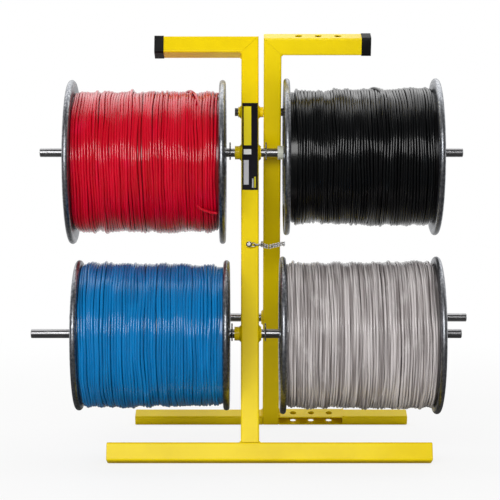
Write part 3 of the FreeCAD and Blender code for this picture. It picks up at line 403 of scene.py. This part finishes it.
def winding_tree():
    """A layer of wire laid turn by turn, as a machine leaves it: uneven, with groups that ride high."""
    tree, board, size = new_tree("winding", [
        ("Width", "Float", 0.27), ("Radius", "Float", 0.125), ("Wire", "Float", WIRE),
        ("Turns", "Int", 50), ("Steps", "Int", 60), ("Sides", "Int", 9), ("Taper", "Float", 0.0),
        ("Wander", "Float", 1.9 * MM), ("Slant", "Float", 4.2 * MM), ("Heave", "Float", 6.5 * MM),
        ("Seed", "Float", 1.0), ("Middle", "Vector", (0.0, 0.0, 0.0)), ("Finish", "Material", None)])
    line = board.add("GeometryNodeCurvePrimitiveLine", None, {"End": (1.0, 0.0, 0.0)})
    count = size["Turns"] * size["Steps"] + 1.0
    line = board.add("GeometryNodeResampleCurve", {"mode": "COUNT"}, {"Curve": line, "Count": count})
    index = board.add("GeometryNodeInputIndex")
    turn = index / size["Steps"]
    angle = turn * math.tau
    sine = angle.math("SINE")
    cosine = angle.math("COSINE")
    share = turn / size["Turns"] - 0.5

    def along(rate, shift):
        """Unevenness along the strand, about 0."""
        place = turn * rate + (size["Seed"] + shift)
        return board.add("ShaderNodeTexNoise", {"noise_dimensions": "1D"},
                         {"W": place, "Scale": 1.0, "Detail": 1.0}) - 0.5

    def over(spread, round_scale, shift):
        """Unevenness that neighbouring turns share, about 0."""
        spot = board.add("ShaderNodeCombineXYZ", None, {
            0: share * spread + (size["Seed"] + shift), 1: sine * round_scale, 2: cosine * round_scale})
        return board.add("ShaderNodeTexNoise", None, {"Vector": spot, "Scale": 1.0, "Detail": 1.0}) - 0.5

    room = size["Width"] - size["Wire"]
    sideways = along(0.47, 0.0) * size["Wander"] * 2.0
    slant = over(7.0, 1.1, 5.0) * size["Slant"] * 2.0
    x = share * room + sideways + slant
    x = x.math("MAXIMUM", room * -0.5).math("MINIMUM", room * 0.5)
    heave = over(13.0, 1.3, 17.0) * size["Heave"] * 2.0
    wobble = along(1.13, 31.0) * size["Wander"] * 1.6
    riding = along(0.83, 60.0).fade(0.16, 0.24) * size["Wire"] * 0.55
    sunk_edge = share.math("ABSOLUTE").fade(0.46, 0.5) * size["Wire"] * 0.6
    radius = size["Radius"] + share * size["Taper"] + heave + wobble + riding - sunk_edge
    spot = board.add("ShaderNodeCombineXYZ", None, {0: x, 1: radius * sine * -1.0, 2: radius * cosine})
    spot = board.add("ShaderNodeVectorMath", {"operation": "ADD"}, {0: spot, 1: size["Middle"]})
    line = board.add("GeometryNodeSetPosition", None, {"Geometry": line, "Position": spot})
    section = board.add("GeometryNodeCurvePrimitiveCircle", None,
                        {"Resolution": size["Sides"], "Radius": size["Wire"] * 0.5})
    tube = board.add("GeometryNodeCurveToMesh", None,
                     {"Curve": line, "Profile Curve": section, "Fill Caps": True})
    close_tree(board, tube, size["Finish"])
    return tree


def bead_tree():
    """A weld bead: overlapping drops along a straight seam."""
    tree, board, size = new_tree("weld_bead", [
        ("Start", "Vector", (0.0, 0.0, 0.0)), ("End", "Vector", (0.0, 0.0, 0.0)),
        ("Pitch", "Float", 1.5 * MM), ("Bead", "Float", 2.3 * MM), ("Seed", "Int", 4),
        ("Finish", "Material", None)])
    line = board.add("GeometryNodeCurvePrimitiveLine", None, {"Start": size["Start"], "End": size["End"]})
    points = board.add("GeometryNodeCurveToPoints", {"mode": "LENGTH"},
                       {"Curve": line, "Length": size["Pitch"]})
    turned = points.output("Rotation")
    drop = board.add("GeometryNodeMeshUVSphere", None, {"Segments": 12, "Rings": 8, "Radius": size["Bead"]})
    index = board.add("GeometryNodeInputIndex")
    spread = board.add("FunctionNodeRandomValue", {"data_type": "FLOAT"},
                       {2: 0.85, 3: 1.12, "ID": index, "Seed": size["Seed"]}, out=1)
    scale = board.add("ShaderNodeCombineXYZ", None, {0: spread, 1: spread, 2: 0.62})
    drops = board.add("GeometryNodeInstanceOnPoints", None,
                      {"Points": points, "Instance": drop, "Rotation": turned, "Scale": scale})
    close_tree(board, drops, size["Finish"])
    return tree


def grow(name, tree, sizes):
    """A plain mesh piece made by a geometry tree with these sizes."""
    mesh = bpy.data.meshes.new(name)
    piece = bpy.data.objects.new(name, mesh)
    bpy.context.scene.collection.objects.link(piece)
    modifier = piece.modifiers.new("shape", "NODES")
    modifier.node_group = tree
    for item in tree.interface.items_tree:
        if item.item_type == "SOCKET" and item.in_out == "INPUT" and item.name in sizes:
            modifier[item.identifier] = sizes[item.name]
    return settle(piece)


def settle(piece):
    """The piece with its modifiers or its curve made a plain mesh."""
    name = piece.name
    graph = bpy.context.evaluated_depsgraph_get()
    mesh = bpy.data.meshes.new_from_object(piece.evaluated_get(graph))
    mesh.name = name
    bpy.data.objects.remove(piece)
    plain = bpy.data.objects.new(name, mesh)
    bpy.context.scene.collection.objects.link(plain)
    return plain


# Pieces

def wind(name, spool, tree, finish):
    """The wire that shows on a spool."""
    low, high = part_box(f"{name}_wire_pack")
    middle = Vector(((low.x + high.x) / 2, *spool["axis"]))
    layer = grow(f"{name}_winding", tree, {
        "Width": high.x - low.x, "Radius": spool["wound"] - WIRE / 2, "Turns": spool["turns"],
        "Taper": spool["taper"], "Seed": spool["seed"], "Middle": middle, "Finish": finish})
    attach(layer, f"{name}_spool")
    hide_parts(f"{name}_wire_turns")


def strand(label, name, places, finish):
    """A single strand over the turns."""
    axis = SPOOLS[name]["axis"]
    layer = SPOOLS[name]["wound"] - WIRE / 2
    curve = bpy.data.curves.new(label, "CURVE")
    curve.dimensions = "3D"
    curve.bevel_depth = WIRE / 2
    curve.bevel_resolution = 3
    curve.resolution_u = 10
    curve.use_fill_caps = True
    spline = curve.splines.new("NURBS")
    spline.points.add(len(places) - 1)
    for point, (x, angle, lift) in zip(spline.points, places):
        radius = layer + lift * MM
        turned = math.radians(angle)
        point.co = (x * MM, axis[0] - radius * math.cos(turned), axis[1] + radius * math.sin(turned), 1.0)
    spline.order_u = 4
    spline.use_endpoint_u = True
    curve.materials.append(finish)
    piece = bpy.data.objects.new(label, curve)
    bpy.context.scene.collection.objects.link(piece)
    piece = settle(piece)
    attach(piece, f"{name}_spool")


def on_leg(pivot, lean, x, y, z):
    """A point given in a leg's own frame, in mm from its pivot."""
    turned = Vector((x * MM, (y * math.cos(lean) - z * math.sin(lean)) * MM,
                     (y * math.sin(lean) + z * math.cos(lean)) * MM))
    return pivot + turned


def weld(label, body, tree, ends, finish, seed):
    """A weld bead between two points of a leg."""
    pivot, lean = (FRONT_PIVOT, -LEAN) if body == "front_leg" else (REAR_PIVOT, LEAN)
    start, end = (on_leg(pivot, lean, *point) for point in ends)
    bead = grow(label, tree, {"Start": start, "End": end, "Seed": seed, "Finish": finish})
    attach(bead, body)


def dress(name, finish):
    """Gives a carried-over node its finish."""
    mesh = nodes[name].data
    mesh.materials.clear()
    mesh.materials.append(finish)


coat = powder_coat()
steel = {name: spool_steel(name, spool) for name, spool in SPOOLS.items()}
bright_zinc = zinc("bright_zinc_steel", (226, 226, 228), (172, 171, 172))
jackets = {name: jacket(name, SPOOLS[name], *wire) for name, wire in WIRES.items()}
by_slot = {
    "yellow_powder_coat": coat,
    "zinc_steel": zinc(),
    "black_rubber": rubber(),
    "bushing_plastic": bushing_plastic(),
    "sticker_film": label_film(),
}
for part in frame["record"]["subparts"]:
    node, slot_name = part["node"], part["material_slot"]
    owner = node.split("_")[0]
    if slot_name == "spool_steel":
        dress(node, steel[owner])
    elif owner == "chain":
        dress(node, bright_zinc)
    elif slot_name.endswith("_jacket"):
        dress(node, jackets[owner])
    else:
        dress(node, by_slot[slot_name])

layer_tree = winding_tree()
for spool_name, facts in SPOOLS.items():
    wind(spool_name, facts, layer_tree, jackets[spool_name])

for strand_name, spool_name, places in STRANDS:
    strand(strand_name, spool_name, places, jackets[spool_name])

seam = bead_tree()
for seed, (label, body, face, half_length, height) in enumerate(WELDS, FIRST_WELD_SEED):
    ends = ((face, -half_length, height), (face, half_length, height))
    weld(label, body, seam, ends, coat, seed)


# Studio

def floor_finish():
    """White floor. Far from the stand it is as white as the background, near it it keeps the shadow."""
    material = bpy.data.materials.new("studio_floor")
    material.use_nodes = True
    tree = material.node_tree
    tree.nodes.clear()
    board = Board(tree)
    coords = board.add("ShaderNodeTexCoord", out="Object")
    away = board.length(coords)
    back = board.only("Y", coords).fade(-0.1, 0.9)
    ray = board.add("ShaderNodeLightPath", out="Is Camera Ray")
    glossy = ray.output("Is Glossy Ray")
    seen = (ray + ray.output("Is Transmission Ray") + glossy * back).clip()
    share = seen * (0.82 + away.fade(0.6, 1.8) * 0.18)
    paint = board.tint(glossy, colour(242, 242, 242), colour(96, 96, 96))
    matt = board.add("ShaderNodeBsdfDiffuse", None, {"Color": paint})
    glow = board.add("ShaderNodeEmission", None, {"Color": WHITE, "Strength": 1.0})
    mixed = board.add("ShaderNodeMixShader", None, {0: share, 1: matt, 2: glow})
    output = tree.nodes.new("ShaderNodeOutputMaterial")
    tree.links.new(mixed.socket, output.inputs["Surface"])
    return material


def lay_floor():
    """A plain floor just under the feet."""
    reach = 12.0
    level = -0.0004
    mesh = bpy.data.meshes.new("floor")
    corners = [(-reach, -reach, level), (reach, -reach, level), (reach, reach, level), (-reach, reach, level)]
    mesh.from_pydata(corners, [], [(0, 1, 2, 3)])
    mesh.materials.append(floor_finish())
    floor = bpy.data.objects.new("floor", mesh)
    bpy.context.scene.collection.objects.link(floor)


def light_world():
    """White for the camera. Gloss shows a white back and a dark front, and the light is a soft grey."""
    world = bpy.data.worlds.new("studio")
    bpy.context.scene.world = world
    world.use_nodes = True
    world.node_tree.nodes.clear()
    board = Board(world.node_tree)
    ray = board.add("ShaderNodeLightPath", out="Is Camera Ray")
    glossy = ray.output("Is Glossy Ray")
    back = board.only("Y", board.add("ShaderNodeTexCoord", out="Generated")).fade(-0.15, 0.35)
    seen = (ray + ray.output("Is Transmission Ray") + glossy * back).clip()
    soft, dark, white = (board.add("ShaderNodeBackground", None, {"Color": WHITE, "Strength": strength})
                         for strength in (0.38, 0.1, 1.0))
    shade = board.add("ShaderNodeMixShader", None, {0: glossy, 1: soft, 2: dark})
    mixed = board.add("ShaderNodeMixShader", None, {0: seen, 1: shade, 2: white})
    output = world.node_tree.nodes.new("ShaderNodeOutputWorld")
    world.node_tree.links.new(mixed.socket, output.inputs["Surface"])


def hang_light(name, place, target, size, power):
    """A soft panel that shines from its place at a target."""
    lamp = bpy.data.lights.new(name, "AREA")
    lamp.shape = "RECTANGLE"
    lamp.size, lamp.size_y = size
    lamp.energy = power
    light = bpy.data.objects.new(name, lamp)
    light.location = place
    light.rotation_euler = (Vector(target) - Vector(place)).to_track_quat("-Z", "Y").to_euler()
    bpy.context.scene.collection.objects.link(light)


def set_camera():
    """The photograph's viewpoint: level with the pivot bolt, a little above the middle of the spools."""
    lens = bpy.data.cameras.new("camera")
    lens.sensor_width = 36.0
    lens.lens = 126.5
    lens.clip_end = 60.0
    camera = bpy.data.objects.new("camera", lens)
    camera.location = (FRONT_PIVOT.x, -3.196, 0.5565)
    looking_down = 3.55
    camera.rotation_euler = (math.radians(90 - looking_down), 0.0, 0.0)
    bpy.context.scene.collection.objects.link(camera)
    bpy.context.scene.camera = camera


lay_floor()
light_world()
hang_light("overhead", (0.0, 1.0, 2.5), (0.0, 0.0, 0.45), (4.4, 2.4), 42.0)
hang_light("front", (-0.7, -3.4, 1.5), (0.0, 0.0, 0.4), (2.4, 1.2), 76.0)
set_camera()
bpy.context.scene.view_settings.view_transform = "Standard"
